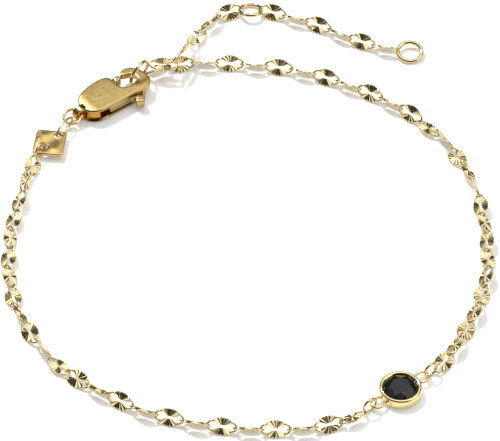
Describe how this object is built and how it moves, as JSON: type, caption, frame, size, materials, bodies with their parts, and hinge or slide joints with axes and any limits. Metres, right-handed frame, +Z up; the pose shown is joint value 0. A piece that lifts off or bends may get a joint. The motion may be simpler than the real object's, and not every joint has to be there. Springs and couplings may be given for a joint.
{
  "type": "chain bracelet",
  "caption": "Fine gold chain bracelet of diamond-cut starburst links, with a black stone in a round bezel, a lobster clasp and a short extender chain, lying as a closed loop.",
  "frame": {"origin": "on the surface that the bracelet lies on, under the middle of its box", "axes": "+Z up from the surface, +Y towards the extender side, +X to the right of the loop seen with the extender at the far side"},
  "size_m": [0.056, 0.0692, 0.0035],
  "materials": {
    "chain_gold": "diamond-cut bright gold",
    "ring_gold": "polished gold wire",
    "clasp_gold": "satin gold face with polished edges",
    "lever_gold": "polished gold",
    "tag_gold": "polished gold sheet",
    "bezel_gold": "mirror polished gold",
    "stone": "polished black, faceted"
  },
  "bodies": {
    "bracelet": {"chain_right": "chain_gold", "chain_left": "chain_gold", "extender_chain_inner": "chain_gold", "extender_chain_outer": "chain_gold", "clasp_body": "clasp_gold", "clasp_ring": "ring_gold", "hook_ring": "ring_gold", "tag": "tag_gold", "tag_ring_upper": "ring_gold", "tag_ring_lower": "ring_gold", "bezel": "bezel_gold", "stone": "stone", "bezel_ring_right": "ring_gold", "bezel_ring_left": "ring_gold", "extender_mid_ring": "ring_gold", "end_ring": "ring_gold"},
    "lever": {"clasp_lever": "lever_gold"}
  },
  "joints": [
    {"name": "lever_hinge", "type": "hinge", "parent": "bracelet", "child": "lever", "pos_m": [-0.0164, 0.01864, 0.00095], "axis": [0, 0, -1], "range_deg": [0, 20], "stiffness_Nm_per_rad": 0.002, "springref_deg": -8.59}
  ]
}
